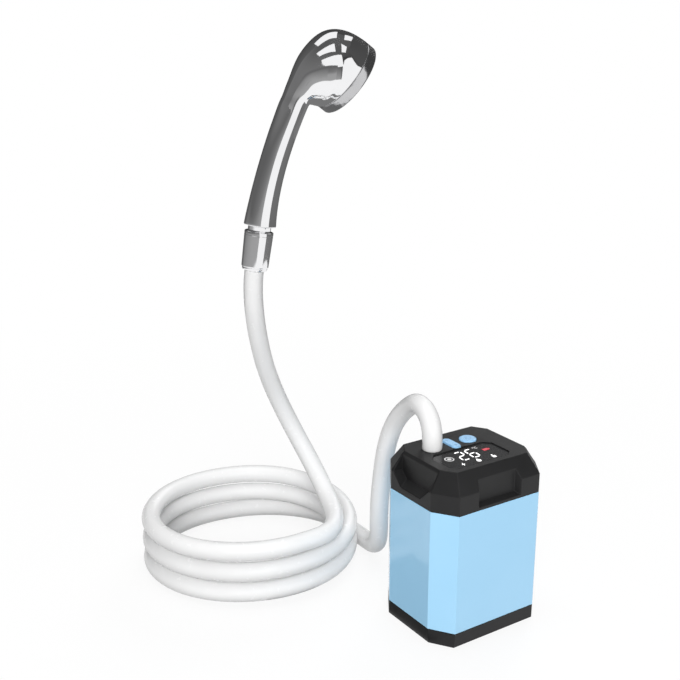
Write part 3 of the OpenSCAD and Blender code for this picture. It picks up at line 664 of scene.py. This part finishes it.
soften(node["spray_ring"], 0.0002, 25)


# Spray face: a grey ABS plate pressed into the plated ring at the head's mouth. A mat of soft pale
# silicone lies behind it, and its nozzles stand through the plate.
plate_grey = finish_of(
    "plate_grey", dark=(0.3, 0.3, 0.31), pale=(0.35, 0.35, 0.36),
    rough=(0.3, 0.42), patch=80, grain=1800, relief=0.00002,
)
nozzle_pale = finish_of(
    "nozzle_pale", dark=(0.62, 0.62, 0.62), pale=(0.7, 0.7, 0.7),
    rough=(0.5, 0.65), patch=200, grain=1500, relief=0.00002,
)
dress("spray_plate", plate_grey)
dress("nozzle_mat", nozzle_pale)


# Studio: a pale floor that fades into a white surround, and three broad soft lamps, beside the camera,
# above and behind. Polished metal needs dark flags and bright panes, which only reflections see.
world = bpy.data.worlds.new("surround")
scene.world = world
world.use_nodes = True


def seen_of(tree):
    """One where the camera sees the surface, straight, mirrored or through glass, else nought."""
    path = tree.nodes.new("ShaderNodeLightPath")
    seen = path.outputs["Is Camera Ray"]
    for way in ("Is Glossy Ray", "Is Transmission Ray"):
        most = tree.nodes.new("ShaderNodeMath")
        most.operation = "MAXIMUM"
        tree.links.new(seen, most.inputs[0])
        tree.links.new(path.outputs[way], most.inputs[1])
        seen = most.outputs[0]
    return seen


sky = world.node_tree
sky_back = sky.nodes["Background"]
sky_level = sky.nodes.new("ShaderNodeMapRange")
sky_level.inputs["To Min"].default_value = 0.3
sky_level.inputs["To Max"].default_value = 1.0
sky.links.new(seen_of(sky), sky_level.inputs["Value"])
sky.links.new(sky_level.outputs["Result"], sky_back.inputs["Strength"])
sky_back.inputs["Color"].default_value = (1, 1, 1, 1)

floor_half = 12
floor_mesh = bpy.data.meshes.new("floor")
floor_corners = [(-1, -1), (1, -1), (1, 1), (-1, 1)]
floor_mesh.from_pydata([(floor_half * x, floor_half * y, 0) for x, y in floor_corners], [], [(0, 1, 2, 3)])
floor = bpy.data.objects.new("floor", floor_mesh)
scene.collection.objects.link(floor)
floor_pale = bpy.data.materials.new("floor_pale")
floor_pale.use_nodes = True
ground = floor_pale.node_tree
ground.nodes.remove(ground.nodes["Principled BSDF"])
ground_seen = seen_of(ground)
ground_matt = ground.nodes.new("ShaderNodeBsdfDiffuse")
ground_shade = ground.nodes.new("ShaderNodeMapRange")
ground_shade.inputs["To Min"].default_value = 0.28
ground_shade.inputs["To Max"].default_value = 0.95
ground.links.new(ground_seen, ground_shade.inputs["Value"])
ground.links.new(ground_shade.outputs["Result"], ground_matt.inputs["Color"])
ground_place = ground.nodes.new("ShaderNodeTexCoord")
ground_far = ground.nodes.new("ShaderNodeVectorMath")
ground_far.operation = "LENGTH"
ground.links.new(ground_place.outputs["Object"], ground_far.inputs[0])
ground_fade = ground.nodes.new("ShaderNodeMapRange")
ground_fade.interpolation_type = "SMOOTHSTEP"
ground_fade.inputs["From Min"].default_value = 0.15
ground_fade.inputs["From Max"].default_value = 0.9
ground_fade.inputs["To Min"].default_value = 0.86
ground_fade.inputs["To Max"].default_value = 1.0
ground.links.new(ground_far.outputs["Value"], ground_fade.inputs["Value"])
ground_share = ground.nodes.new("ShaderNodeMath")
ground_share.operation = "MULTIPLY"
ground.links.new(ground_fade.outputs["Result"], ground_share.inputs[0])
ground.links.new(ground_seen, ground_share.inputs[1])
ground_glow = ground.nodes.new("ShaderNodeEmission")
ground_mix = ground.nodes.new("ShaderNodeMixShader")
ground.links.new(ground_share.outputs[0], ground_mix.inputs["Fac"])
ground.links.new(ground_matt.outputs[0], ground_mix.inputs[1])
ground.links.new(ground_glow.outputs[0], ground_mix.inputs[2])
ground.links.new(ground_mix.outputs[0], ground.nodes["Material Output"].inputs["Surface"])
floor_mesh.materials.append(floor_pale)


def lamp(name, place, across, power):
    """A round soft lamp that looks at the pump."""
    light = bpy.data.lights.new(name, "AREA")
    light.shape = "DISK"
    light.size = across
    light.energy = power
    made = bpy.data.objects.new(name, light)
    made.location = place
    made.rotation_mode = "QUATERNION"
    aim = Vector((-0.03, 0.05, 0.1))
    made.rotation_quaternion = (aim - Vector(place)).to_track_quat("-Z", "Y")
    scene.collection.objects.link(made)
    return made


key_lamp = lamp("key_lamp", place=(-1.44, -2.07, 1.24), across=1.6, power=68)
key_lamp.visible_glossy = False
lamp("top_lamp", place=(-0.05, 0.2, 2.7), across=1.6, power=19)
lamp("fill_lamp", place=(2.1, 1.7, 1.5), across=1.8, power=34)


def card(name, points, faces, shades):
    """A screen that only reflections see, with a shade at each of its points."""
    mesh = bpy.data.meshes.new(name)
    mesh.from_pydata(points, [], faces)
    tones = mesh.color_attributes.new("shade", "FLOAT_COLOR", "POINT")
    for tone, shade in zip(tones.data, shades):
        tone.color = (shade, shade, shade, 1)
    screen = bpy.data.materials.new(name)
    screen.use_nodes = True
    tree = screen.node_tree
    tree.nodes.remove(tree.nodes["Principled BSDF"])
    shade_of = tree.nodes.new("ShaderNodeAttribute")
    shade_of.attribute_name = "shade"
    glow = tree.nodes.new("ShaderNodeEmission")
    tree.links.new(shade_of.outputs["Color"], glow.inputs["Color"])
    tree.links.new(glow.outputs[0], tree.nodes["Material Output"].inputs["Surface"])
    mesh.materials.append(screen)
    made = bpy.data.objects.new(name, mesh)
    made.visible_camera = False
    made.visible_diffuse = False
    made.visible_shadow = False
    made.visible_transmission = False
    scene.collection.objects.link(made)


def at_rim(bearing, height):
    """A point on the bent screen around the object, by its bearing from the front and its height."""
    middle, reach, b = (-0.07, 0.14), 0.62, math.radians(bearing)
    return (middle[0] + reach * math.sin(b), middle[1] - reach * math.cos(b), height)


def flag(name, bearings, heights, shades):
    """A bent screen around the object: a row of shades for each height, one shade for each bearing."""
    step = 4
    parts = max(1, round((bearings[-1] - bearings[0]) / step))
    around = np.linspace(bearings[0], bearings[-1], parts + 1)
    points, tones = [], []
    for height, row in zip(heights, shades):
        points += [at_rim(bearing, height) for bearing in around]
        tones += [float(np.interp(bearing, bearings, row)) for bearing in around]
    faces = []
    for k in range(len(heights) - 1):
        for i in range(parts):
            first = k * (parts + 1) + i
            faces.append((first, first + 1, first + parts + 2, first + parts + 1))
    card(name, points, faces, tones)


flag_top = 1.2
flag("left_flag", (-150, -110, -80, -40, -24), (0, 0.09, 0.12, 0.3, 0.38, 0.52, 0.62, flag_top), [
    (0.3, 0.4, 1, 1, 1),
    (0.3, 0.4, 1, 1, 1),
    (0.28, 0.36, 0.38, 0.38, 0.38),
    (0.16, 0.28, 0.34, 0.36, 0.36),
    (0.12, 0.12, 0.16, 0.22, 0.24),
    (0.12, 0.12, 0.13, 0.14, 0.14),
    (0.18, 0.18, 0.17, 0.16, 0.14),
    (0.1, 0.1, 0.1, 0.1, 0.1),
])
flag("upper_front_flag", (-24, 34), (0.74, flag_top), [(0.08, 0.06), (0.1, 0.1)])
flag("corner_flag", (29, 34), (0.54, 0.74), [(0.07, 0.07), (0.07, 0.07)])
card(
    "patch_flag",
    [at_rim(*corner) for corner in ((-3, 0.55), (1, 0.55), (5, 0.68), (20, 0.75), (20, 0.8), (-3, 0.8))],
    [(0, 1, 2, 5), (2, 3, 4, 5)], [0.05] * 6,
)
flag("right_flag", (34, 60, 120), (0, 0.14, 0.5, flag_top), [
    (0.22, 0.2, 0.18), (0.17, 0.16, 0.14), (0.08, 0.08, 0.07), (0.08, 0.07, 0.06),
])
flag("back_flag", (120, 150, 210), (0, 0.3, flag_top), [
    (0.18, 0.1, 0.2), (0.06, 0.05, 0.12), (0.06, 0.06, 0.1),
])
card(
    "ceiling_flag",
    [(-0.8, -0.6, flag_top), (0.7, -0.6, flag_top), (0.7, 0.9, flag_top), (-0.8, 0.9, flag_top)],
    [(0, 1, 2, 3)], [0.1] * 4,
)
# A dark patch on the floor by the sleeve's left side, which only reflections see: a painted darker
# reflection in the lower part of the sleeve's left face.
floor_flag_up = 0.0005
floor_flag_corners = [(-0.047, -0.035), (-0.047, 0.04), (-0.112, 0.13), (-0.112, 0.06)]
card(
    "floor_flag",
    [(x, y, floor_flag_up) for x, y in floor_flag_corners],
    [(0, 1, 2, 3)], [0.2] * 4,
)
# Four small cards right by the hand shower, which only reflections see: painted reflections that set the
# grey band on the head, the grey and dark at the neck, a white piece of the grip's stripe and the grey of
# the head's lip.
card(
    "head_card",
    [(-0.062, 0.0597, 0.386), (-0.0415, 0.0527, 0.386), (-0.035, 0.052, 0.386), (-0.0605, 0.063, 0.341),
     (-0.0405, 0.056, 0.341), (-0.0362, 0.0557, 0.341)],
    [(0, 1, 4, 3), (1, 2, 5, 4)], [0.14, 0.1, 0.03, 0.38, 0.36, 0.2],
)
card(
    "neck_card",
    [(-0.0905, 0.083, 0.386), (-0.104, 0.124, 0.386), (-0.106, 0.124, 0.372), (-0.096, 0.095, 0.36),
     (-0.091, 0.083, 0.35)],
    [(0, 1, 2, 3), (0, 3, 4)], [0.14, 0.14, 0.32, 0.35, 0.36],
)
card(
    "stripe_card",
    [(x, 0.11, z) for x, z in ((-0.057, 0.342), (-0.045, 0.342), (-0.045, 0.353), (-0.057, 0.353))],
    [(0, 1, 2, 3)], [1.0] * 4,
)
lip_card_up = 0.32
lip_corners = [
    (-0.0415, 0.1265), (-0.0362, 0.1245), (-0.0345, 0.115), (0.04, 0.115), (0.04, 0.22), (-0.0415, 0.22),
]
card(
    "lip_card",
    [(x, y, lip_card_up) for x, y in lip_corners],
    [(0, 1, 4, 5), (1, 2, 3, 4)], [0.2] * 6,
)
# Bright panes overhead, shaped like a window's, which only reflections see: painted reflections that give
# the head its window-like highlights.
pane_middle, pane_reach = Vector((-0.03, 0.115, 0.385)), 0.5
reflection_panes = [
    [(-168, 39), (143, 42), (146, 76), (-142, 50)],
    [(125, 48), (119, 37), (93, 52), (91, 67)],
    [(-113, 46), (-83, 78), (-46, 55), (-93, 42)],
    [(33, 75), (42, 59), (15, 47), (-4, 52)],
    [(-79, 33), (-7, 44), (-4, 11), (-66, 16)],
]
for i, pane in enumerate(reflection_panes):
    corners = []
    for bearing, height in pane:
        b, h = math.radians(bearing), math.radians(height)
        away = Vector((math.cos(h) * math.sin(b), -math.cos(h) * math.cos(b), math.sin(h)))
        corners.append(pane_middle + pane_reach * away)
    card(f"reflection_pane_{i + 1}", corners, [(0, 1, 2, 3)], [1.0] * 4)
